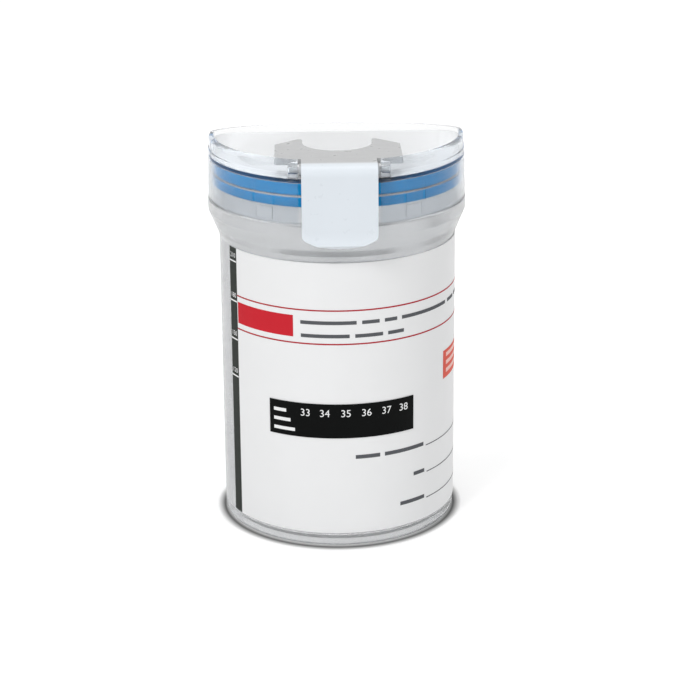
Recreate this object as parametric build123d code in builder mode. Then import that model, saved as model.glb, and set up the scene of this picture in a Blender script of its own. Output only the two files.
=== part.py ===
from build123d import *
from math import asin, cos, degrees, radians, sin, sqrt
import os

# A specimen cup with a hinged snap lid, a rocking latch and test strips inside.
# Millimetres. The foot stands on z = 0, the body's axis is Z and the latch faces -Y.
# An azimuth is counted from the latch side (-Y) towards +X, in degrees.

# Cup body
body_radius = 32.5
wall = 1.4
body_height = 81.3
floor_thickness = 1.6
foot_height = 1.0
foot_width = 1.9
base_round = 1.5
floor_round = 1.2
bore_round = 1.0
bore_rise = 1.2

# Shoulder, collar and neck
shoulder_flare = 2.9
shoulder_rise = 7.1
shoulder_round = 1.2
collar_height = 3.2
neck_setback = 2.0
neck_wall = 1.4
neck_foot_round = 0.3
neck_height = 7.5
rim_round = 0.45
collar_round = 0.35

# Lugs on the neck that the lid's ribs straddle
lug_width = 5.0
lug_height = 3.2
lug_depth = 0.35
lug_lift = 0.8
lug_azimuth = 35.5

# Lid
lid_gap = 0.3
seal_gap = 0.2
skirt_clearance = 0.75
skirt_wall = 1.15
skirt_draft = 0.3
skirt_chamfer = 0.22
deck_thickness = 1.1
pocket_depth = 5.3
rim_wall = 1.35
lid_round = 1.1
rear_drop = 5.6
roof_thickness = 0.9
divider_wall = 1.4
divider_back = 0.8
pocket_corner = 5.0
step_depth = 0.18
step_drop = 3.4

# Recess in the middle of the lid and the ring wall round it
recess_depth = 3.7
ring_wall = 1.2
ring_drop = 5.0
stiffener_thickness = 1.0
stiffener_angle = 15.0
stiffener_count = 11

# Guide ribs inside the skirt
guide_rib_width = 0.9
guide_rib_depth = 0.32
guide_rib_length = 6.4
guide_rib_spread = 5.4

# Gasket
gasket_thickness = 3.3
gasket_lip_wall = 1.2
gasket_lip_drop = 1.9
gasket_edge_clearance = 0.3
gasket_ring_clearance = 0.1
gasket_round = 0.4

# Latch
latch_width = 19.8
latch_side_clearance = 0.85
latch_thickness = 1.5
flap_clearance = 0.4
flap_drop = 3.0
flap_bow = 2.55
flap_corner = 1.6
flap_top_round = 3.0
lip_curl_radius = 5.0
lip_curl_angle = 40.0
latch_top_below_rim = 0.8
pivot_behind_collar = 4.2
pivot_below_top = 2.2
latch_barrel_radius = 1.6
trunnion_radius = 0.85
trunnion_length = 2.2
pivot_clearance = 0.07
cheek_thickness = 2.5
cheek_radius = 1.9
latch_end_clearance = 0.3
tab_width = 33.6
tab_reach = 25.2
tab_chamfer = 6.0
tab_shoulder_width = 20.4
tab_corner_round = 1.2
scoop_radius = 9.4
scoop_reach = 11.8
tab_front_gap = 2.9
tab_rib_thickness = 1.0
tab_rib_depth = 1.0
tab_rib_spacing = 12.0
seat_rib_height = 1.0
seat_rib_drop = 0.2
flap_rib_thickness = 0.8
flap_rib_depth = 1.2

# Hinge at the back
hinge_barrel_radius = 1.9
hinge_gap = 0.3
hinge_above_collar_base = 2.6
hinge_pin_radius = 0.8
hinge_clearance = 0.07
hinge_arm_width = 17.8
hinge_side_clearance = 0.3
ear_thickness = 3.0
hinge_arm_thickness = 1.6
hinge_notch_width = 30.7
hinge_arm_clearance = 0.3

# Printed skins on the body
skin_gap = 0.05
label_thickness = 0.14
label_base_margin = 4.1
label_shoulder_margin = 0.3
label_start_angle = -57.5
label_end_angle = 118.0
film_thickness = 0.14
film_lift = 27.8
film_height = 9.7
film_start_angle = -35.7
film_end_angle = 36.9
scale_angle = 6.6
scale_gap_angle = 0.3
scale_thickness = 0.06

# Strip carrier and test strips inside
strip_count = 6
channel_clearance = 0.25
channel_rib = 1.1
channel_depth = 1.4
carrier_plate = 1.1
carrier_wall_clearance = 0.4
carrier_headroom = 13.3
carrier_shelf = 2.4
carrier_shelf_thickness = 1.0
carrier_cap = 1.4
strip_width = 4.4
strip_end_clearance = 0.1
strip_back_clearance = 0.05
pad_thickness = 0.9
membrane_thickness = 0.45
sample_pad_length = 17.0
head_pad_length = 13.0
rail_thickness = 1.2
rail_lip = 2.2
rail_lip_thickness = 0.9
rail_root = 0.2
rail_clearance = 0.2
rail_headroom = 9.4

# Heights that follow from the sizes above
floor_top = foot_height + floor_thickness
carrier_top = body_height - carrier_headroom
shelf_top = floor_top + carrier_shelf + carrier_shelf_thickness
rail_height = carrier_top - rail_headroom - floor_top
label_bottom = label_base_margin
label_top = body_height - label_shoulder_margin
film_bottom = label_bottom + film_lift
collar_base = body_height + shoulder_rise
collar_top = collar_base + collar_height
rim_top = collar_top + neck_height
skirt_bottom = collar_top + lid_gap
gasket_bottom = rim_top + seal_gap
deck_under = gasket_bottom + gasket_thickness
deck_top = deck_under + deck_thickness
lid_top = deck_top + pocket_depth
recess_floor = deck_top - recess_depth
recess_under = recess_floor - deck_thickness
ring_bottom = deck_under - ring_drop
latch_top = lid_top - latch_top_below_rim
latch_under = latch_top - latch_thickness
latch_pivot_z = latch_top - pivot_below_top
hinge_z = collar_base + hinge_above_collar_base

# Radii that follow from the sizes above
bore_radius = body_radius - wall
collar_radius = body_radius + shoulder_flare
neck_radius = collar_radius - neck_setback
rib_crest = bore_radius - carrier_wall_clearance
channel_floor = rib_crest - channel_depth
carrier_inner_radius = channel_floor - carrier_plate
mouth_radius = neck_radius - neck_wall
foot_outer = body_radius - base_round
foot_inner = foot_outer - foot_width
skirt_inner = neck_radius + skirt_clearance
skirt_outer = skirt_inner + skirt_wall
crown_inner = skirt_inner - skirt_draft
crown_outer = skirt_outer - skirt_draft
pocket_radius = crown_outer - rim_wall
gasket_outer = crown_inner - gasket_edge_clearance
gasket_lip_outer = gasket_outer - 3.7
gasket_inner = gasket_lip_outer - gasket_lip_wall
ring_outer = gasket_inner - gasket_ring_clearance
recess_radius = ring_outer - ring_wall
notch_radius = crown_inner - 0.15
latch_pivot_y = -(collar_radius - pivot_behind_collar)
flap_inner = -(collar_radius + flap_clearance)
flap_outer = flap_inner - latch_thickness
latch_half = latch_width / 2
notch_half = latch_half + latch_side_clearance
hinge_y = collar_radius + hinge_gap + hinge_barrel_radius
arm_half = hinge_arm_width / 2
reach = 2 * collar_radius

# Angles that follow from the sizes above
channel_pitch_angle = degrees((strip_width + 2 * channel_clearance + channel_rib) / channel_floor)
channel_rib_angle = degrees(channel_rib / channel_floor)
carrier_half_angle = (strip_count * channel_pitch_angle + channel_rib_angle) / 2
latch_angle = -90
hinge_azimuth = 180
rear_start, rear_end = 90, 270


def wall_plane(azimuth):
    """Upright plane through the axis: its x runs outwards at the azimuth, its y is up."""
    turn = radians(azimuth)
    return Plane(origin=(0, 0, 0), x_dir=(sin(turn), -cos(turn), 0), z_dir=(-cos(turn), -sin(turn), 0))


def ring_sector(inner, outer, start, end):
    """Flat sketch between two radii and two azimuths, to be added to the sketch that is open."""
    first = start + latch_angle
    span = end - start
    with BuildSketch() as sector:
        with BuildLine():
            near = CenterArc((0, 0), inner, first, span)
            far = CenterArc((0, 0), outer, first, span)
            Line(near @ 0, far @ 0)
            Line(near @ 1, far @ 1)
        make_face()
    return sector.sketch


def rear_slope_z(y):
    """Height of the lid's sloping back at the distance y behind the axis."""
    return lid_top - rear_drop * (y - divider_back) / (crown_outer - divider_back)


# Cup: body, shoulder, collar and neck, with a recessed base on a foot ring
with BuildPart() as cup:
    with BuildSketch(Plane.XZ):
        with BuildLine():
            FilletPolyline(
                (0, foot_height),
                (foot_inner - foot_height, foot_height),
                (foot_inner, 0),
                (body_radius, 0),
                (body_radius, body_height),
                (collar_radius, collar_base),
                (collar_radius, collar_top),
                (neck_radius, collar_top),
                (neck_radius, rim_top),
                (0, rim_top),
                (0, foot_height),
                radius=[0, 0, 0, base_round, shoulder_round, collar_round, collar_round, neck_foot_round, rim_round, 0],
            )
        make_face()
    revolve(axis=Axis.Z)
    with BuildSketch(Plane.XZ):
        with BuildLine():
            FilletPolyline(
                (0, floor_top),
                (bore_radius, floor_top),
                (bore_radius, body_height + bore_rise),
                (mouth_radius, body_height + shoulder_rise * 0.45),
                (mouth_radius, rim_top),
                (mouth_radius + rim_round, rim_top + rim_round),
                (0, rim_top + rim_round),
                (0, floor_top),
                radius=[0, floor_round, bore_round, bore_round, rim_round, 0, 0],
            )
        make_face()
    revolve(axis=Axis.Z, mode=Mode.SUBTRACT)

    # Lugs on the neck
    for side in (-1, 1):
        lug_half = degrees(asin(lug_width / 2 / neck_radius))
        with BuildSketch(Plane.XY.offset(collar_top + lug_lift)):
            add(ring_sector(neck_radius - neck_wall / 2, neck_radius + lug_depth,
                        side * lug_azimuth - lug_half, side * lug_azimuth + lug_half))
        extrude(amount=lug_height)

    # Hinge ears on the collar
    for side in (-1, 1):
        ear_start = side * (arm_half + hinge_side_clearance)
        with BuildSketch(Plane.YZ.offset(ear_start)):
            with Locations((hinge_y, hinge_z)):
                Circle(hinge_barrel_radius)
            with BuildLine():
                Polyline(
                    (neck_radius, collar_base + 0.3),
                    (hinge_y, hinge_z - hinge_barrel_radius),
                    (hinge_y, collar_top - 0.1),
                    (neck_radius, collar_top - 0.1),
                    close=True,
                )
            make_face()
            with Locations((hinge_y, hinge_z)):
                Circle(hinge_pin_radius + hinge_clearance, mode=Mode.SUBTRACT)
        extrude(amount=side * ear_thickness)

    # Rails that hold the strip carrier against the back wall
    for side in (-1, 1):
        rail_gap = degrees(rail_clearance / carrier_inner_radius)
        rail_angle = degrees(rail_thickness / carrier_inner_radius)
        lip_angle = degrees(rail_lip / carrier_inner_radius)
        rail_near = carrier_half_angle + rail_gap
        rail_far = rail_near + rail_angle
        lip_outer = carrier_inner_radius - rail_clearance
        lip_inner = lip_outer - rail_lip_thickness
        with BuildSketch(Plane.XY.offset(floor_top - rail_root)):
            for inner_edge, outer_radius in ((rail_near, bore_radius + wall / 2), (rail_near - lip_angle, lip_outer)):
                limits = sorted((hinge_azimuth + side * inner_edge, hinge_azimuth + side * rail_far))
                add(ring_sector(lip_inner, outer_radius, limits[0], limits[1]))
        extrude(amount=rail_height + rail_root)

cup.part.label = "cup"
export_step(cup.part, "parts/cup.step")

# Hollow under the lid's sloping back, kept aside for the lid
with BuildPart() as rear_hollow:
    with BuildSketch(Plane.XY.offset(recess_under - 1)):
        add(ring_sector(divider_back / 2, crown_inner, rear_start, rear_end))
    extrude(amount=lid_top - recess_under + 2)
    hollow_back = crown_inner + 1
    with BuildSketch(Plane.YZ.offset(-reach)):
        with BuildLine():
            Polyline(
                (divider_back, recess_under - 1),
                (hollow_back, recess_under - 1),
                (hollow_back, rear_slope_z(hollow_back) - roof_thickness),
                (divider_back, lid_top - roof_thickness),
                close=True,
            )
        make_face()
    extrude(amount=2 * reach, mode=Mode.INTERSECT)

# Pocket on top of the lid, a half moon with round corners
with BuildPart() as pocket:
    with BuildSketch(Plane.XY.offset(deck_top)):
        Circle(pocket_radius)
        with Locations((0, divider_back - divider_wall + reach / 2)):
            Rectangle(reach, reach, mode=Mode.SUBTRACT)
        fillet(vertices(), radius=pocket_corner)
    extrude(amount=pocket_depth + 1)

# Recess in the pocket's floor, and the cup-shaped wall that makes it
with BuildPart() as recess:
    with BuildSketch(Plane.XY.offset(recess_floor)):
        Circle(recess_radius)
        with Locations((0, divider_back - divider_wall + reach / 2)):
            Rectangle(reach, reach, mode=Mode.SUBTRACT)
        fillet(vertices(), radius=pocket_corner / 2)
    extrude(amount=recess_depth + 1)

# Lid: crown, skirt, pocket, recess, sloping back, ring wall, ribs, cheeks and hinge arm
with BuildPart() as lid:
    with BuildSketch(Plane.XZ):
        with BuildLine():
            FilletPolyline(
                (0, lid_top),
                (crown_outer - step_depth, lid_top),
                (crown_outer - step_depth, lid_top - step_drop),
                (crown_outer, lid_top - step_drop - step_depth),
                (skirt_outer, skirt_bottom + skirt_chamfer),
                (skirt_outer - skirt_chamfer, skirt_bottom),
                (skirt_inner + skirt_chamfer, skirt_bottom),
                (skirt_inner, skirt_bottom + skirt_chamfer),
                (crown_inner, deck_under),
                (0, deck_under),
                (0, lid_top),
                radius=[0, lid_round, 0, 0, 0, 0, 0, 0, 0, 0],
            )
        make_face()
    revolve(axis=Axis.Z)
    add(rear_hollow.part, mode=Mode.SUBTRACT)

    # Ring wall and the recess's floor
    with BuildSketch(Plane.XY.offset(ring_bottom)):
        Circle(ring_outer)
        Circle(recess_radius, mode=Mode.SUBTRACT)
    extrude(amount=deck_top - ring_bottom)
    with BuildSketch(Plane.XY.offset(recess_under)):
        Circle(ring_outer)
        with Locations((0, divider_back + reach / 2)):
            Rectangle(reach, reach, mode=Mode.SUBTRACT)
    extrude(amount=deck_top - recess_under)
    with BuildSketch(Plane.XY.offset(deck_top - 0.1)):
        add(ring_sector(recess_radius, ring_outer, rear_start, rear_end))
    extrude(amount=lid_top - deck_top)

    # Stiffeners over the gasket under the sloping back
    for index in range(stiffener_count):
        azimuth = hinge_azimuth + (index - (stiffener_count - 1) / 2) * stiffener_angle
        with BuildSketch(wall_plane(azimuth)):
            with Locations(((ring_outer - 0.3 + crown_inner + 0.3) / 2, (deck_under + lid_top) / 2)):
                Rectangle(crown_inner - ring_outer + 0.6, lid_top - deck_under)
        extrude(amount=stiffener_thickness / 2, both=True)

    # Everything above the sloping back is cut away
    with BuildSketch(Plane.YZ.offset(-reach)):
        with BuildLine():
            Polyline(
                (divider_back, lid_top),
                (reach, rear_slope_z(reach)),
                (reach, lid_top + 1),
                (divider_back, lid_top + 1),
                close=True,
            )
        make_face()
    extrude(amount=2 * reach, mode=Mode.SUBTRACT)

    # Pocket and recess on top
    add(pocket.part, mode=Mode.SUBTRACT)
    add(recess.part, mode=Mode.SUBTRACT)

    # Cheeks for the latch's stub pins
    for side in (-1, 1):
        with BuildSketch(Plane.YZ.offset(side * notch_half)):
            with Locations((latch_pivot_y, latch_pivot_z)):
                Circle(cheek_radius)
            with Locations((latch_pivot_y, (deck_top - 0.2 + latch_pivot_z) / 2)):
                Rectangle(2 * cheek_radius, latch_pivot_z - deck_top + 0.2)
        extrude(amount=side * cheek_thickness)

    # Notch for the latch through rim and skirt
    with BuildSketch(Plane.XY.offset(skirt_bottom - 1)):
        with Locations((0, -reach / 2)):
            Rectangle(2 * notch_half, reach)
        Circle(notch_radius, mode=Mode.SUBTRACT)
    extrude(amount=lid_top - skirt_bottom + 2, mode=Mode.SUBTRACT)
    with BuildSketch(Plane.XY.offset(deck_top)):
        with Locations((0, (latch_pivot_y + cheek_radius) / 2 - reach / 2)):
            Rectangle(2 * notch_half, reach + (latch_pivot_y + cheek_radius))
    extrude(amount=pocket_depth + 1, mode=Mode.SUBTRACT)

    # Bores for the latch's stub pins
    with BuildSketch(Plane.YZ.offset(-notch_half - cheek_thickness)):
        with Locations((latch_pivot_y, latch_pivot_z)):
            Circle(trunnion_radius + pivot_clearance)
    extrude(amount=2 * (notch_half + cheek_thickness), mode=Mode.SUBTRACT)

    # Notch behind the hinge
    with BuildSketch(Plane.XY.offset(skirt_bottom - 1)):
        with Locations((0, reach / 2)):
            Rectangle(hinge_notch_width, reach)
        Circle(notch_radius, mode=Mode.SUBTRACT)
    extrude(amount=lid_top - skirt_bottom + 2, mode=Mode.SUBTRACT)

    # Guide ribs inside the skirt
    for side in (-1, 1):
        for offset in (-guide_rib_spread, guide_rib_spread):
            with BuildSketch(wall_plane(side * (lug_azimuth + offset))):
                with BuildLine():
                    Polyline(
                        (skirt_inner + 0.3, deck_under - guide_rib_length - 0.8),
                        (skirt_inner - guide_rib_depth, deck_under - guide_rib_length),
                        (skirt_inner - guide_rib_depth, deck_under - 0.9),
                        (skirt_inner + 0.3, deck_under - 0.9),
                        close=True,
                    )
                make_face()
            extrude(amount=guide_rib_width / 2, both=True)

    # Hinge arm, barrel and stub pins
    arm_inner = collar_radius - hinge_arm_clearance
    with BuildSketch(Plane.YZ.offset(-arm_half)):
        with BuildLine():
            FilletPolyline(
                (notch_radius - 2, deck_under),
                (notch_radius - 2, rear_slope_z(notch_radius - 2) - 0.1),
                (arm_inner + hinge_arm_thickness, rear_slope_z(arm_inner + hinge_arm_thickness)),
                (arm_inner + hinge_arm_thickness, hinge_z),
                (arm_inner + hinge_arm_thickness / 2, skirt_bottom),
                (arm_inner, skirt_bottom),
                (arm_inner, deck_under),
                (notch_radius - 2, deck_under),
                radius=[0, 0, 0.8, 0, 0, 0, 0.6],
            )
        make_face()
        with Locations((hinge_y, hinge_z)):
            Circle(hinge_barrel_radius)
    extrude(amount=hinge_arm_width)
    pin_half = arm_half + hinge_side_clearance + ear_thickness
    with BuildSketch(Plane.YZ.offset(-pin_half)):
        with Locations((hinge_y, hinge_z)):
            Circle(hinge_pin_radius)
    extrude(amount=2 * pin_half)

lid.part.label = "lid"
export_step(lid.part, "parts/lid.step")

# Gasket: a flat ring over the rim with a lip down into the mouth
with BuildPart() as gasket:
    with BuildSketch(Plane.XZ):
        with BuildLine():
            FilletPolyline(
                (gasket_inner, deck_under),
                (gasket_outer, deck_under),
                (gasket_outer, gasket_bottom),
                (gasket_lip_outer, gasket_bottom),
                (gasket_lip_outer, gasket_bottom - gasket_lip_drop),
                (gasket_inner, gasket_bottom - gasket_lip_drop),
                (gasket_inner, deck_under),
                radius=[0, gasket_round, gasket_round, 0.3, gasket_round, 0.3],
            )
        make_face()
    revolve(axis=Axis.Z)

gasket.part.label = "gasket"
export_step(gasket.part, "parts/gasket.step")

# Latch: front flap with a curled lip, bridge over the rim and press tab with a finger scoop
with BuildPart() as latch:
    lip_end_z = skirt_bottom - flap_drop - flap_bow
    curl = radians(lip_curl_angle)
    curl_z = lip_end_z + (lip_curl_radius + latch_thickness) * sin(curl)
    curl_y = flap_outer - lip_curl_radius
    bend_y = flap_outer + flap_top_round
    bend_z = latch_top - flap_top_round
    with BuildSketch(Plane.YZ.offset(-latch_half)):
        with BuildLine():
            lip_outside = CenterArc((curl_y, curl_z), lip_curl_radius, 0, -lip_curl_angle)
            lip_inside = CenterArc((curl_y, curl_z), lip_curl_radius + latch_thickness, 0, -lip_curl_angle)
            Line(lip_outside @ 1, lip_inside @ 1)
            top_outside = CenterArc((bend_y, bend_z), flap_top_round, 90, 90)
            top_inside = CenterArc((bend_y, bend_z), flap_top_round - latch_thickness, 90, 90)
            Line(lip_outside @ 0, top_outside @ 1)
            Line(lip_inside @ 0, top_inside @ 1)
            Line(top_outside @ 0, (latch_pivot_y, latch_top))
            Line((latch_pivot_y, latch_top), (latch_pivot_y, latch_under))
            Line((latch_pivot_y, latch_under), top_inside @ 0)
        make_face()
    extrude(amount=latch_width)

    # Curved seat that faces the underside of the collar
    seat_top = collar_base - seat_rib_drop
    with BuildSketch(Plane.XY.offset(seat_top - seat_rib_height)):
        with Locations((0, (flap_outer + 0.1) / 2)):
            Rectangle(latch_width, -(flap_outer + 0.1))
        Circle(collar_radius + lid_gap, mode=Mode.SUBTRACT)
    extrude(amount=seat_rib_height)

    # The flap's outline from the front, bowed at the bottom
    corner_z = lip_end_z + flap_bow
    with BuildSketch(Plane.XZ.offset(reach)):
        with BuildLine():
            bow = ThreePointArc((-latch_half, corner_z), (0, lip_end_z), (latch_half, corner_z))
            Polyline((-latch_half, corner_z), (-latch_half, latch_top + 1), (latch_half, latch_top + 1),
                     (latch_half, corner_z))
        make_face()
        fillet(vertices().group_by(Axis.Y)[0], radius=flap_corner)
    extrude(amount=-reach, mode=Mode.INTERSECT)

    # Press tab with two shoulders and a scoop for a fingertip
    tab_front = latch_pivot_y + tab_front_gap
    tab_back = latch_pivot_y + tab_reach
    tab_half = tab_width / 2
    shoulder_half = tab_shoulder_width / 2
    scoop_y = latch_pivot_y + scoop_reach + scoop_radius
    with BuildSketch(Plane.XY.offset(latch_under)):
        with BuildLine():
            Polyline(
                (-tab_half, tab_front),
                (-tab_half, tab_back - tab_chamfer),
                (-shoulder_half - 0.6, tab_back),
                (shoulder_half + 0.6, tab_back),
                (tab_half, tab_back - tab_chamfer),
                (tab_half, tab_front),
                close=True,
            )
        make_face()
        fillet(vertices(), radius=tab_corner_round)
        with Locations((0, scoop_y)):
            Circle(scoop_radius, mode=Mode.SUBTRACT)
        with Locations((0, scoop_y + reach / 2)):
            Rectangle(2 * scoop_radius, reach, mode=Mode.SUBTRACT)
        with Locations((0, (latch_pivot_y + tab_front + 1) / 2)):
            Rectangle(latch_width, tab_front + 1 - latch_pivot_y)
    extrude(amount=latch_thickness)
    fillet(edges().filter_by(Axis.Z).filter_by_position(Axis.Y, tab_back - 0.01, tab_back + 0.01), radius=0.8)

    # Barrel and stub pins
    barrel_half = notch_half - latch_end_clearance
    with BuildSketch(Plane.YZ.offset(-barrel_half)):
        with Locations((latch_pivot_y, latch_pivot_z)):
            Circle(latch_barrel_radius)
    extrude(amount=2 * barrel_half)
    stub_half = notch_half + trunnion_length
    with BuildSketch(Plane.YZ.offset(-stub_half)):
        with Locations((latch_pivot_y, latch_pivot_z)):
            Circle(trunnion_radius)
    extrude(amount=2 * stub_half)

    # Ribs under the tab
    for side in (-1, 1):
        rib_end = scoop_y - 0.5
        with BuildSketch(Plane.YZ.offset(side * tab_rib_spacing / 2 - tab_rib_thickness / 2)):
            with BuildLine():
                Polyline(
                    (latch_pivot_y, latch_under + 0.1),
                    (latch_pivot_y, latch_under - tab_rib_depth),
                    (latch_pivot_y + scoop_reach - 2, latch_under - tab_rib_depth),
                    (latch_pivot_y + scoop_reach, latch_under),
                    (latch_pivot_y + scoop_reach, latch_under + 0.1),
                    close=True,
                )
            make_face()
        extrude(amount=tab_rib_thickness)

    # Ribs inside the flap
    for side in (-1, 1):
        with BuildSketch(Plane.YZ.offset(side * (latch_half - 0.4) - flap_rib_thickness / 2 * (1 + side))):
            with BuildLine():
                Polyline(
                    (flap_inner - 0.2, skirt_bottom + 0.6),
                    (flap_inner + flap_rib_depth, skirt_bottom + 1.6),
                    (flap_inner + flap_rib_depth, bend_z),
                    (flap_inner - 0.2, bend_z),
                    close=True,
                )
            make_face()
        extrude(amount=flap_rib_thickness)

latch.part.label = "latch"
export_step(latch.part, "parts/latch.step")

# Wrapped front label
skin_radius = body_radius + skin_gap
with BuildPart() as front_label:
    with BuildSketch(wall_plane(label_start_angle)):
        with Locations((skin_radius + label_thickness / 2, (label_bottom + label_top) / 2)):
            Rectangle(label_thickness, label_top - label_bottom)
    revolve(axis=Axis.Z, revolution_arc=label_end_angle - label_start_angle)

front_label.part.label = "front_label"
export_step(front_label.part, "parts/front_label.step")

# Temperature strip on the label
film_radius = skin_radius + label_thickness + skin_gap
with BuildPart() as temperature_strip:
    with BuildSketch(wall_plane(film_start_angle)):
        with Locations((film_radius + film_thickness / 2, film_bottom + film_height / 2)):
            Rectangle(film_thickness, film_height)
    revolve(axis=Axis.Z, revolution_arc=film_end_angle - film_start_angle)

temperature_strip.part.label = "temperature_strip"
export_step(temperature_strip.part, "parts/temperature_strip.step")

# Printed volume scale beside the label
with BuildPart() as scale_strip:
    scale_end_angle = label_start_angle - scale_gap_angle
    with BuildSketch(wall_plane(scale_end_angle - scale_angle)):
        with Locations((skin_radius + scale_thickness / 2, (label_bottom + label_top) / 2)):
            Rectangle(scale_thickness, label_top - label_bottom)
    revolve(axis=Axis.Z, revolution_arc=scale_angle)

scale_strip.part.label = "scale_strip"
export_step(scale_strip.part, "parts/scale_strip.step")

# Carrier with open channels that face the back wall
with BuildPart() as strip_holder:
    with BuildSketch(Plane.XY.offset(floor_top)):
        add(ring_sector(carrier_inner_radius, channel_floor, hinge_azimuth - carrier_half_angle, hinge_azimuth + carrier_half_angle))
    extrude(amount=carrier_top - floor_top)
    with BuildSketch(Plane.XY.offset(floor_top + carrier_shelf)):
        for index in range(strip_count + 1):
            rib_start = hinge_azimuth - carrier_half_angle + index * channel_pitch_angle
            add(ring_sector(channel_floor - 0.2, rib_crest, rib_start, rib_start + channel_rib_angle))
    extrude(amount=carrier_top - floor_top - carrier_shelf)
    for low, high in ((floor_top + carrier_shelf, shelf_top), (carrier_top - carrier_cap, carrier_top)):
        with BuildSketch(Plane.XY.offset(low)):
            add(ring_sector(channel_floor - 0.2, rib_crest, hinge_azimuth - carrier_half_angle, hinge_azimuth + carrier_half_angle))
        extrude(amount=high - low)

strip_holder.part.label = "strip_holder"
export_step(strip_holder.part, "parts/strip_holder.step")

# Test strips: sample pad below, thin membrane, head pad above
strip_back = channel_floor + strip_back_clearance
strip_low = shelf_top + strip_end_clearance
strip_high = carrier_top - carrier_cap - strip_end_clearance
for index in range(strip_count):
    strip_azimuth = hinge_azimuth + (index - (strip_count - 1) / 2) * channel_pitch_angle
    with BuildPart() as test_strip:
        with BuildSketch(wall_plane(strip_azimuth)):
            with BuildLine():
                Polyline(
                    (strip_back, strip_low),
                    (strip_back + pad_thickness, strip_low),
                    (strip_back + pad_thickness, strip_low + sample_pad_length - 1),
                    (strip_back + membrane_thickness, strip_low + sample_pad_length),
                    (strip_back + membrane_thickness, strip_high - head_pad_length),
                    (strip_back + pad_thickness, strip_high - head_pad_length + 1),
                    (strip_back + pad_thickness, strip_high),
                    (strip_back, strip_high),
                    close=True,
                )
            make_face()
        extrude(amount=strip_width / 2, both=True)
    test_strip.part.label = f"test_strip_{index + 1}"
    export_step(test_strip.part, f"parts/test_strip_{index + 1}.step")
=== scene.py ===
import bpy
import math
from mathutils import Matrix, Vector


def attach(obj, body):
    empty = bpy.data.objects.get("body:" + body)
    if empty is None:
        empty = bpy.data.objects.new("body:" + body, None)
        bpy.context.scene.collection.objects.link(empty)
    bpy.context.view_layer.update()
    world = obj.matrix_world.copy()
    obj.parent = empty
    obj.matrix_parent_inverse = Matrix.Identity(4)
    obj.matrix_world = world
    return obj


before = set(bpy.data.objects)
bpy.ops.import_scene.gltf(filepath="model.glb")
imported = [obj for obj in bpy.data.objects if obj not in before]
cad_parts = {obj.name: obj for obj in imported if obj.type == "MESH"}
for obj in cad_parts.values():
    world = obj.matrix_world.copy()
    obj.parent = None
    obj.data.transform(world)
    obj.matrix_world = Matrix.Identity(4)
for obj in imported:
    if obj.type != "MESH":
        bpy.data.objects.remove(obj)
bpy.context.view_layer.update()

# Lengths are in millimetres, and azimuths in degrees from the latch towards +X, unless a comment
# says otherwise. Colours are linear.
MM = 0.001

# Plastics and rubber
CUP_COLOUR = (0.80, 0.81, 0.82)
LID_COLOUR = (0.84, 0.87, 0.90)
LID_FROSTED_COLOUR = (0.96, 0.965, 0.97)
LID_FROSTED_RADIUS = 33.4
CARRIER_COLOUR = (0.83, 0.85, 0.87)
SEAL_BLUE = (0.0, 0.22, 0.50)
LATCH_COLOUR = (0.74, 0.79, 0.84)
# Painted shade: the tab, of the same plastic as the latch, gets this darker copy of the latch's colour
# behind its front edge, where it lies in the shade.
TAB_PAINTED_SHADE = (0.45, 0.455, 0.46)
TAB_FRONT = -33.0
LAMP_SHARE = 0.85

# Films, papers and inks
LABEL_PAPER = (0.86, 0.865, 0.87)
FILM_BLACK = (0.003, 0.0035, 0.0035)
# A dark band beside the label's edge, under the white scale marks.
SCALE_DARK = (0.05, 0.055, 0.05)
WHITE_PRINT = (0.86, 0.87, 0.87)
DARK_PRINT = (0.11, 0.115, 0.125)
LINE_RED = (0.46, 0.025, 0.035)
FIELD_RED = (0.62, 0.022, 0.035)
FIELD_CORAL = (0.78, 0.13, 0.095)
PALE_CORAL = (0.88, 0.50, 0.44)

# Test strips: the height where each colour starts
STRIP_EDGE = (0.85, 0.84, 0.82)
PAD_WHITE = (0.84, 0.83, 0.80)
MEMBRANE = (0.90, 0.90, 0.89)
TEST_LINE = (0.62, 0.22, 0.30)
HEAD_RED = (0.62, 0.05, 0.05)
STRIP_BANDS = ((0.0, PAD_WHITE), (22.5, MEMBRANE), (36.0, TEST_LINE), (36.8, MEMBRANE),
               (44.0, TEST_LINE), (44.8, MEMBRANE))
STRIP_HEAD_START = 53.4
STRIP_REACH = 100.0


# Nodes that the materials share

def feed(tree, source, target):
    """Links a node's output to an input, or sets the input where the source is a plain value."""
    if isinstance(source, bpy.types.NodeSocket):
        tree.links.new(source, target)
    else:
        target.default_value = source


def maths(tree, operation, first, second):
    node = tree.nodes.new("ShaderNodeMath")
    node.operation = operation
    feed(tree, first, node.inputs[0])
    feed(tree, second, node.inputs[1])
    return node.outputs["Value"]


def multiply_vectors(tree, first, second):
    node = tree.nodes.new("ShaderNodeVectorMath")
    node.operation = "MULTIPLY"
    feed(tree, first, node.inputs[0])
    feed(tree, second, node.inputs[1])
    return node.outputs["Vector"]


def mix_colours(tree, factor, first, second):
    """The first colour where the factor is 0, and the second where it is 1."""
    node = tree.nodes.new("ShaderNodeMix")
    node.data_type = "RGBA"
    feed(tree, factor, node.inputs["Factor"])
    feed(tree, first, node.inputs[6])
    feed(tree, second, node.inputs[7])
    return node.outputs[2]


def soft_step(tree, value, edge, soft, low=0.0, high=1.0):
    """Goes from low to high while the value, in metres, passes the edge, given in millimetres."""
    node = tree.nodes.new("ShaderNodeMapRange")
    node.inputs["From Min"].default_value = (edge - soft) * MM
    node.inputs["From Max"].default_value = (edge + soft) * MM
    node.inputs["To Min"].default_value = low
    node.inputs["To Max"].default_value = high
    feed(tree, value, node.inputs["Value"])
    return node.outputs["Result"]


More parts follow.
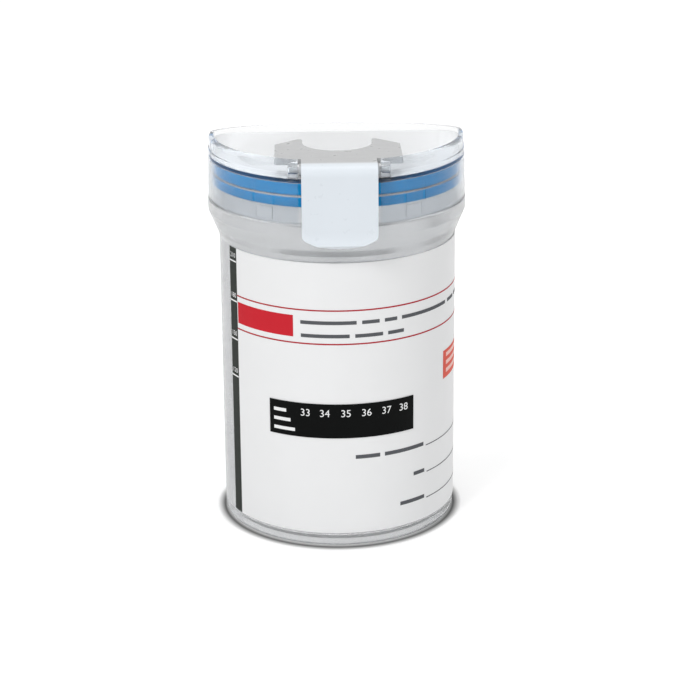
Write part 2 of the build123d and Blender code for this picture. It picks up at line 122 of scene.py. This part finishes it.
def colour_steps(tree, factor, steps, interpolation="LINEAR"):
    """A colour, or a plain value, for each (position, colour) along the factor."""
    node = tree.nodes.new("ShaderNodeValToRGB")
    node.color_ramp.interpolation = interpolation
    while len(node.color_ramp.elements) < len(steps):
        node.color_ramp.elements.new(0.5)
    for element, (position, colour) in zip(node.color_ramp.elements, steps):
        if not hasattr(colour, "__len__"):
            colour = (colour, colour, colour)
        element.position = position
        element.color = (*colour, 1.0)
    feed(tree, factor, node.inputs["Fac"])
    return node.outputs["Color"]


def coordinates(tree):
    return tree.nodes.new("ShaderNodeTexCoord").outputs["Object"]


def distance_along(tree, axis):
    """The place along one axis, in metres: X, Y or Z."""
    node = tree.nodes.new("ShaderNodeSeparateXYZ")
    feed(tree, coordinates(tree), node.inputs["Vector"])
    return node.outputs[axis]


def distance_from_axis(tree):
    length = tree.nodes.new("ShaderNodeVectorMath")
    length.operation = "LENGTH"
    feed(tree, multiply_vectors(tree, coordinates(tree), (1.0, 1.0, 0.0)), length.inputs[0])
    return length.outputs["Value"]


def noise(tree, scale, detail=3.0, stretch=(1.0, 1.0, 1.0)):
    """Noise in object space, with the scale given per metre."""
    mapping = tree.nodes.new("ShaderNodeMapping")
    mapping.inputs["Scale"].default_value = stretch
    feed(tree, coordinates(tree), mapping.inputs["Vector"])
    texture = tree.nodes.new("ShaderNodeTexNoise")
    texture.inputs["Scale"].default_value = scale
    texture.inputs["Detail"].default_value = detail
    feed(tree, mapping.outputs["Vector"], texture.inputs["Vector"])
    return texture.outputs["Fac"]


def white_rays(tree):
    """1 for a ray that comes from the camera, or through or off a glossy surface."""
    path = tree.nodes.new("ShaderNodeLightPath")
    seen = maths(tree, "MAXIMUM", path.outputs["Is Camera Ray"], path.outputs["Is Glossy Ray"])
    return maths(tree, "MAXIMUM", seen, path.outputs["Is Transmission Ray"])


# Materials

# Unevenness: noise scales per metre, the part of the noise that shows, and shares of the roughness
UNEVEN_SCALE = 90.0
UNEVEN_RANGE = (0.3, 0.7)
ROUGHNESS_RANGE = (0.9, 1.12)
RELIEF_DEPTH = 0.05

# How softly one look goes over into the other, and the tab's streaks
FROST_EDGE = 0.3
TAB_EDGE = 1.0
STREAK_SCALE = 700.0
STREAK_STRETCH = (0.25, 1.0, 1.0)
STREAK_RANGE = (0.35, 0.65)
STREAK_SHADE = 0.95


def surface(name, colour, roughness, spread=0.03, grain=900.0, bump=0.02,
            transmission=0.0, ior=1.49, specular=0.5):
    """A moulded or printed surface: slight unevenness in its colour, its gloss and its height."""
    material = bpy.data.materials.new(name)
    material.use_nodes = True
    tree = material.node_tree
    shader = tree.nodes["Principled BSDF"]
    coarse = noise(tree, UNEVEN_SCALE)
    fine = noise(tree, grain, detail=4.0)
    start, end = UNEVEN_RANGE
    darker = tuple(channel * (1.0 - spread) for channel in colour)
    glossy, matt = [min(1.0, roughness * share) for share in ROUGHNESS_RANGE]
    tint = colour_steps(tree, coarse, ((start, darker), (end, colour)))
    gloss = colour_steps(tree, fine, ((start, glossy), (end, matt)))
    feed(tree, tint, shader.inputs["Base Color"])
    feed(tree, gloss, shader.inputs["Roughness"])
    relief = tree.nodes.new("ShaderNodeBump")
    relief.inputs["Strength"].default_value = bump
    relief.inputs["Distance"].default_value = RELIEF_DEPTH * MM
    feed(tree, fine, relief.inputs["Height"])
    feed(tree, relief.outputs["Normal"], shader.inputs["Normal"])
    shader.inputs["IOR"].default_value = ior
    shader.inputs["Transmission Weight"].default_value = transmission
    shader.inputs["Specular IOR Level"].default_value = specular
    return material


def frost_inside(material, colour, radius, frosted_transmission, clear_transmission):
    """Faces nearer to the axis than the radius are frosted and pale, and those outside it are clear."""
    tree = material.node_tree
    shader = tree.nodes["Principled BSDF"]
    distance = distance_from_axis(tree)
    feed(tree, soft_step(tree, distance, radius, FROST_EDGE, frosted_transmission, clear_transmission),
         shader.inputs["Transmission Weight"])
    base = shader.inputs["Base Color"]
    outward = soft_step(tree, distance, radius, FROST_EDGE)
    feed(tree, mix_colours(tree, outward, (*colour, 1.0), base.links[0].from_socket), base)


def paint_shade_behind(material, colour, edge):
    """Painted shade: a darker, streaked copy of the colour behind the edge, where the tab lies in the
    shade.
    """
    tree = material.node_tree
    base = tree.nodes["Principled BSDF"].inputs["Base Color"]
    start, end = STREAK_RANGE
    darker = tuple(channel * STREAK_SHADE for channel in colour)
    grain = noise(tree, STREAK_SCALE, stretch=STREAK_STRETCH)
    streaks = colour_steps(tree, grain, ((start, darker), (end, colour)))
    behind = soft_step(tree, distance_along(tree, "Y"), edge, TAB_EDGE)
    feed(tree, mix_colours(tree, behind, base.links[0].from_socket, streaks), base)


def pass_light(material, share):
    """See-through plastic lets that share of the lamps' light through to what lies behind it."""
    tree = material.node_tree
    path = tree.nodes.new("ShaderNodeLightPath")
    clear = tree.nodes.new("ShaderNodeBsdfTransparent")
    mix = tree.nodes.new("ShaderNodeMixShader")
    feed(tree, maths(tree, "MULTIPLY", path.outputs["Is Shadow Ray"], share), mix.inputs[0])
    feed(tree, tree.nodes["Principled BSDF"].outputs["BSDF"], mix.inputs[1])
    feed(tree, clear.outputs[0], mix.inputs[2])
    feed(tree, mix.outputs[0], tree.nodes["Material Output"].inputs["Surface"])


def strip_paper(name, head):
    """A laminated test strip: colour bands up its height, and a head in its own colour."""
    material = surface(name, STRIP_EDGE, 0.4, grain=1600.0)
    tree = material.node_tree
    bands = STRIP_BANDS + ((STRIP_HEAD_START, head),)
    steps = [(start / STRIP_REACH, colour) for start, colour in bands]
    share = maths(tree, "MULTIPLY", distance_along(tree, "Z"), 1.0 / (STRIP_REACH * MM))
    feed(tree, colour_steps(tree, share, steps, "CONSTANT"),
         tree.nodes["Principled BSDF"].inputs["Base Color"])
    return material


cup_plastic = surface("cup_plastic", CUP_COLOUR, 0.24, ior=1.3, transmission=0.8, bump=0.03)
lid_plastic = surface("lid_plastic", LID_COLOUR, 0.14, ior=1.22, transmission=1.0, bump=0.03)
frost_inside(lid_plastic, LID_FROSTED_COLOUR, LID_FROSTED_RADIUS, 0.08, 0.97)
carrier_plastic = surface("carrier_plastic", CARRIER_COLOUR, 0.4, transmission=0.35)
for see_through in (cup_plastic, lid_plastic, carrier_plastic):
    pass_light(see_through, LAMP_SHARE)

seal_rubber = surface("seal_rubber", SEAL_BLUE, 0.42, spread=0.06, specular=0.2)
latch_plastic = surface("latch_plastic", LATCH_COLOUR, 0.3, spread=0.02, grain=500.0, bump=0.01)
# The tab behind its front edge gets painted shade: a darker copy of the latch's colour.
paint_shade_behind(latch_plastic, TAB_PAINTED_SHADE, TAB_FRONT)

label_film = surface("label_film", LABEL_PAPER, 0.45, spread=0.015, grain=1500.0, bump=0.01, specular=0.3)
thermo_film = surface("thermo_film", FILM_BLACK, 0.3, spread=0.2, grain=1800.0, specular=0.06)
scale_dark_band = surface("scale_dark_band", SCALE_DARK, 0.6, spread=0.1, ior=1.1)
white_ink = surface("white_ink", WHITE_PRINT, 0.45, spread=0.02)
dark_ink = surface("dark_ink", DARK_PRINT, 0.6, spread=0.1, specular=0.1)
red_line_ink = surface("red_line_ink", LINE_RED, 0.6, spread=0.06, specular=0.1)
red_ink = surface("red_ink", FIELD_RED, 0.6, spread=0.06, specular=0.1)
coral_ink = surface("coral_ink", FIELD_CORAL, 0.6, spread=0.06, specular=0.1)
pale_coral_ink = surface("pale_coral_ink", PALE_CORAL, 0.4, spread=0.03)
strip_white = strip_paper("strip_white", PAD_WHITE)
strip_red = strip_paper("strip_red", HEAD_RED)

LOOKS = {
    "cup": cup_plastic,
    "lid": lid_plastic,
    "gasket": seal_rubber,
    "latch": latch_plastic,
    "front_label": label_film,
    "temperature_strip": thermo_film,
    "scale_strip": scale_dark_band,
    "strip_holder": carrier_plastic,
    "test_strip_1": strip_red,
    "test_strip_2": strip_white,
    "test_strip_3": strip_white,
    "test_strip_4": strip_white,
    "test_strip_5": strip_white,
    "test_strip_6": strip_red,
}
for node, material in LOOKS.items():
    for material_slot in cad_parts[node].material_slots:
        material_slot.material = material


# Ways to make the scene's own pieces

def on_body(radius, azimuth, height):
    """A point in metres, from a radius, an azimuth in radians and a height."""
    return Vector((radius * math.sin(azimuth), -radius * math.cos(azimuth), height)) * MM


def outer_radius(node):
    """The largest distance from the axis that the node's solid reaches."""
    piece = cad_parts[node]
    return max((piece.matrix_world @ vertex.co).xy.length for vertex in piece.data.vertices) / MM


def add_piece(name, mesh, material, body="cup"):
    mesh.materials.clear()
    mesh.materials.append(material)
    piece = bpy.data.objects.new(name, mesh)
    bpy.context.scene.collection.objects.link(piece)
    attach(piece, body)
    return piece


def patches(name, rectangles, radius, material):
    """One piece of wrapped rectangles: (first azimuth, last azimuth, low height, high height) each."""
    points, faces = [], []
    for first, last, low, high in rectangles:
        columns = max(1, math.ceil(abs(last - first)))
        start = len(points)
        for index in range(columns + 1):
            azimuth = math.radians(first + (last - first) * index / columns)
            points += [on_body(radius, azimuth, low), on_body(radius, azimuth, high)]
        for corner in range(start, start + 2 * columns, 2):
            faces.append((corner, corner + 2, corner + 3, corner + 1))
    mesh = bpy.data.meshes.new(name)
    mesh.from_pydata(points, [], faces)
    mesh.shade_smooth()
    return add_piece(name, mesh, material)


def wrapped_text(name, words, size, azimuth, height, radius, material):
    """Generic numbers, as flat letters wrapped round the body."""
    curve = bpy.data.curves.new(name + "_outline", "FONT")
    curve.body = words
    curve.size = size
    curve.align_x = "CENTER"
    curve.align_y = "CENTER"
    curve.resolution_u = 4
    outline = bpy.data.objects.new(name + "_outline", curve)
    bpy.context.scene.collection.objects.link(outline)
    bpy.context.view_layer.update()
    depsgraph = bpy.context.evaluated_depsgraph_get()
    mesh = bpy.data.meshes.new_from_object(outline.evaluated_get(depsgraph))
    bpy.data.objects.remove(outline)
    for vertex in mesh.vertices:
        turned = math.radians(azimuth) + vertex.co.x / radius
        vertex.co = on_body(radius, turned, height + vertex.co.y)
    return add_piece(name, mesh, material)


SHARP_EDGE = math.radians(40)


def ring(name, section, material, body, turns=180):
    """A closed ring: the section's (radius, height) corners turned round the axis."""
    points, faces = [], []
    count = len(section)
    for step in range(turns):
        points += [on_body(radius, 2 * math.pi * step / turns, height) for radius, height in section]
        here, there = step * count, (step + 1) % turns * count
        for corner in range(count):
            following = (corner + 1) % count
            faces.append((here + corner, here + following, there + following, there + corner))
    mesh = bpy.data.meshes.new(name)
    mesh.from_pydata(points, [], faces)
    mesh.shade_smooth()
    mesh.set_sharp_from_angle(angle=SHARP_EDGE)
    return add_piece(name, mesh, material, body)


def word_row(start, low, lengths, gap, thickness):
    """Short bars in a row that stand for a line of print."""
    row = []
    for length in lengths:
        row.append((start, start + length, low, low + thickness))
        start += length + gap
    return row


# Soft outer lip of the seal, between the neck and the skirt

LIP_INNER, LIP_POINT, LIP_OUTER = 33.5, 33.72, 33.85
LIP_TOP, LIP_FOOT = 98.8, 96.3
LIP_SLOPE = 0.2
LIP_SECTION = ((LIP_INNER, LIP_TOP), (LIP_INNER, LIP_FOOT + LIP_SLOPE), (LIP_POINT, LIP_FOOT),
               (LIP_OUTER, LIP_FOOT + LIP_SLOPE), (LIP_OUTER, LIP_TOP))
ring("seal_outer_lip", LIP_SECTION, seal_rubber, "lid")


# Prints on the label: thin patches that lie just over their carriers

PRINT_LIFT = 0.03
FILM_PRINT_LIFT = 0.025
UPPER_PRINT_LIFT = 0.02
LABEL_PRINT = outer_radius("front_label") + PRINT_LIFT
FILM_PRINT = outer_radius("temperature_strip") + FILM_PRINT_LIFT
SCALE_PRINT = outer_radius("scale_strip") + PRINT_LIFT

LABEL_START, LABEL_END = -57.5, 118.0
RED_LINE_FEET = (58.35, 67.7)
RED_LINE_WIDTH = 0.4
RED_FIELD = (-56.9, -22.6, 60.2, 66.2)
red_lines = [(LABEL_START, LABEL_END, z, z + RED_LINE_WIDTH) for z in RED_LINE_FEET]
patches("label_red_lines", red_lines, LABEL_PRINT, red_line_ink)
patches("label_red_field", [RED_FIELD], LABEL_PRINT, red_ink)

# Rows of bars: where each starts, its foot and the lengths of its bars in degrees
TITLE_ROWS = ((-19.0, 64.0, (26.5, 8.5, 6.5, 32.0, 9.0, 9.0)), (-18.8, 60.3, (23.0, 13.5, 8.5)))
TITLE_GAP = 2.6
TITLE_THICKNESS = 1.0
title = []
for row_start, foot, lengths in TITLE_ROWS:
    title += word_row(row_start, foot, lengths, TITLE_GAP, TITLE_THICKNESS)
patches("label_title_bars", title, LABEL_PRINT, dark_ink)

FORM_LINES = ((45.6, 25.45), (46.3, 17.55), (46.1, 9.85))
FORM_LINE_END = 104.0
FORM_LINE_WIDTH = 0.28
form_lines = [(first, FORM_LINE_END, z, z + FORM_LINE_WIDTH) for first, z in FORM_LINES]
patches("label_form_lines", form_lines, LABEL_PRINT, dark_ink)

CAPTION_ROWS = ((6.7, 25.75, (12.0, 22.8)), (37.4, 17.9, (7.2,)), (29.5, 10.15, (15.1,)))
CAPTION_GAP = 2.4
CAPTION_THICKNESS = 1.1
captions = []
for row_start, foot, lengths in CAPTION_ROWS:
    captions += word_row(row_start, foot, lengths, CAPTION_GAP, CAPTION_THICKNESS)
patches("label_caption_bars", captions, LABEL_PRINT, dark_ink)

CORAL_FIELD = (60.6, 100.0, 42.3, 50.4)
CORAL_BAR_ENDS = (64.0, 96.0)
CORAL_BAR_FEET = (43.7, 46.0, 48.3)
CORAL_BAR_THICKNESS = 1.15
patches("label_coral_field", [CORAL_FIELD], LABEL_PRINT, coral_ink)
coral_bars = [(*CORAL_BAR_ENDS, z, z + CORAL_BAR_THICKNESS) for z in CORAL_BAR_FEET]
patches("label_coral_bars", coral_bars, LABEL_PRINT + UPPER_PRINT_LIFT, pale_coral_ink)


# Prints on the thermometer strip

THERMO_NUMBERS = {"33": -17.05, "34": -7.8, "35": 2.2, "36": 12.0, "37": 21.9, "38": 31.0}
THERMO_NUMBER_SIZE = 2.9
THERMO_NUMBER_HEIGHT = 38.9
for words, azimuth in THERMO_NUMBERS.items():
    wrapped_text("thermo_number_" + words, words, THERMO_NUMBER_SIZE, azimuth, THERMO_NUMBER_HEIGHT,
                 FILM_PRINT, white_ink)

THERMO_CAPTION_START = -33.3
THERMO_CAPTION_BARS = ((6.6, 38.5), (8.8, 35.9), (11.0, 33.3))
THERMO_CAPTION_THICKNESS = 0.95
thermo_captions = []
for length, foot in THERMO_CAPTION_BARS:
    thermo_captions += word_row(THERMO_CAPTION_START, foot, (length,), 0.0, THERMO_CAPTION_THICKNESS)
patches("thermo_caption_bars", thermo_captions, FILM_PRINT, white_ink)


# Prints on the volume scale, in millilitres

SCALE_MIDDLE = -61.1
SCALE_HALF_WIDTH = 3.1
SCALE_TICKS = {"210": 77.0, "180": 65.7, "150": 54.8, "120": 44.1}
SCALE_TICK_WIDTH = 0.4
SCALE_NUMBER_SIZE = 1.9
SCALE_NUMBER_LIFT = 1.8
scale_left, scale_right = SCALE_MIDDLE - SCALE_HALF_WIDTH, SCALE_MIDDLE + SCALE_HALF_WIDTH
ticks = [(scale_left, scale_right, z, z + SCALE_TICK_WIDTH) for z in SCALE_TICKS.values()]
patches("scale_ticks", ticks, SCALE_PRINT, white_ink)
for words, z in SCALE_TICKS.items():
    wrapped_text("scale_number_" + words, words, SCALE_NUMBER_SIZE, SCALE_MIDDLE, z + SCALE_NUMBER_LIFT,
                 SCALE_PRINT, white_ink)


# Floor

# It glows for the rays that show it. The glow is brighter under the foot, painted light that shows
# through the base, and drops to nothing in a narrow ring round the foot,
# where the colour darkens too: a painted contact shadow. Lengths are in metres here: each step is a
# distance from the axis and the value there.
FLOOR_HALF = 4.0
FLOOR_REACH = 0.6
FLOOR_GLOW = ((0.0300, 0.6), (0.0316, 0.0), (0.0328, 0.0), (0.0345, 0.36), (0.15, 0.38),
              (FLOOR_REACH, 0.46))
FLOOR_PAINTED_SHADOW = ((0.0310, 1.0), (0.0318, 0.15), (0.0328, 0.15), (0.0345, 1.0))
FLOOR_GRAIN = 60.0
FLOOR_GREYS = (0.80, 0.82)


def by_distance(tree, steps):
    """A value that follows the steps outwards from the axis."""
    share = maths(tree, "DIVIDE", distance_from_axis(tree), FLOOR_REACH)
    return colour_steps(tree, share, [(distance / FLOOR_REACH, value) for distance, value in steps])


def make_floor():
    corners = [(-FLOOR_HALF, -FLOOR_HALF, 0), (FLOOR_HALF, -FLOOR_HALF, 0),
               (FLOOR_HALF, FLOOR_HALF, 0), (-FLOOR_HALF, FLOOR_HALF, 0)]
    mesh = bpy.data.meshes.new("floor")
    mesh.from_pydata(corners, [], [(0, 1, 2, 3)])
    floor = bpy.data.objects.new("floor", mesh)
    bpy.context.scene.collection.objects.link(floor)
    material = bpy.data.materials.new("floor_white")
    material.use_nodes = True
    tree = material.node_tree
    shader = tree.nodes["Principled BSDF"]
    paint = colour_steps(tree, noise(tree, FLOOR_GRAIN), tuple(zip(UNEVEN_RANGE, FLOOR_GREYS)))
    # Painted contact shadow: the floor's colour darkens in a narrow ring round the foot.
    shadow_painted_colour = multiply_vectors(tree, paint, by_distance(tree, FLOOR_PAINTED_SHADOW))
    feed(tree, shadow_painted_colour, shader.inputs["Base Color"])
    shader.inputs["Roughness"].default_value = 0.9
    shader.inputs["Specular IOR Level"].default_value = 0.1
    glow = tree.nodes.new("ShaderNodeEmission")
    glow.inputs["Color"].default_value = (1, 1, 1, 1)
    # The glow carries painted light: brighter under the foot, where it shows through the base, and
    # nothing in the ring of the painted contact shadow.
    strength = maths(tree, "MULTIPLY", white_rays(tree), by_distance(tree, FLOOR_GLOW))
    feed(tree, strength, glow.inputs["Strength"])
    both = tree.nodes.new("ShaderNodeAddShader")
    feed(tree, shader.outputs["BSDF"], both.inputs[0])
    feed(tree, glow.outputs["Emission"], both.inputs[1])
    feed(tree, both.outputs["Shader"], tree.nodes["Material Output"].inputs["Surface"])
    mesh.materials.append(material)


# Light

# The world is white for the rays that show it, and dimmer for the rays that light the object
AMBIENT = 0.55

# Each lamp has its power in watts, and its size, place and target in metres
LAMPS = {
    "key": (5.7, 0.3, (-0.6, -0.8, 0.9), (0, 0, 0.06)),
    "fill": (2.0, 0.9, (0.7, -0.9, 0.5), (0, 0, 0.06)),
    "top": (1.9, 0.6, (-0.05, 0.1, 1.1), (0, 0, 0.1)),
    "back": (2.0, 0.6, (0.75, 0.85, 1.0), (0, 0, 0.05)),
}


def make_world(ambient):
    world = bpy.data.worlds.new("studio")
    bpy.context.scene.world = world
    world.use_nodes = True
    tree = world.node_tree
    background = tree.nodes["Background"]
    background.inputs["Color"].default_value = (1, 1, 1, 1)
    strength = tree.nodes.new("ShaderNodeMapRange")
    strength.inputs["To Min"].default_value = ambient
    strength.inputs["To Max"].default_value = 1.0
    feed(tree, white_rays(tree), strength.inputs["Value"])
    feed(tree, strength.outputs["Result"], background.inputs["Strength"])


def area_light(name, power, size, place, target):
    data = bpy.data.lights.new(name, "AREA")
    data.energy = power
    data.size = size
    lamp = bpy.data.objects.new(name, data)
    lamp.location = place
    lamp.rotation_euler = (Vector(target) - Vector(place)).to_track_quat("-Z", "Y").to_euler()
    bpy.context.scene.collection.objects.link(lamp)


make_floor()
make_world(AMBIENT)
for lamp_name, values in LAMPS.items():
    area_light(lamp_name, *values)


# Camera

# Fitted to the photograph: the focal length and the shift are in the photograph's pixels, and the
# pitch and the roll in radians
SENSOR_WIDTH = 36.0
NEAREST_SEEN, FARTHEST_SEEN = 0.01, 20.0
PHOTO_WIDTH = 680.0
FOCAL_PX = 2055.77
SHIFT_PX = (2.62, -60.0)
CAMERA_PLACE = Vector((-12.44, -548.14, 236.78)) * MM
PITCH_DOWN = 0.3014
ROLL = -0.0087
UPWARD = Vector((0, 0, 1))


def make_camera():
    data = bpy.data.cameras.new("camera")
    data.sensor_width = SENSOR_WIDTH
    data.sensor_fit = "HORIZONTAL"
    data.lens = FOCAL_PX / PHOTO_WIDTH * SENSOR_WIDTH
    data.shift_x = SHIFT_PX[0] / PHOTO_WIDTH
    data.shift_y = SHIFT_PX[1] / PHOTO_WIDTH
    data.clip_start = NEAREST_SEEN
    data.clip_end = FARTHEST_SEEN
    heading = Vector((-CAMERA_PLACE.x, -CAMERA_PLACE.y, 0)).normalized()
    forward = heading * math.cos(PITCH_DOWN) - UPWARD * math.sin(PITCH_DOWN)
    level_right = forward.cross(UPWARD).normalized()
    level_up = level_right.cross(forward)
    right = level_right * math.cos(ROLL) + level_up * math.sin(ROLL)
    up = level_up * math.cos(ROLL) - level_right * math.sin(ROLL)
    turn = Matrix((right, up, -forward)).transposed().to_4x4()
    camera = bpy.data.objects.new("camera", data)
    camera.matrix_world = Matrix.Translation(CAMERA_PLACE) @ turn
    bpy.context.scene.collection.objects.link(camera)
    bpy.context.scene.camera = camera


make_camera()
bpy.context.scene.view_settings.view_transform = "Standard"
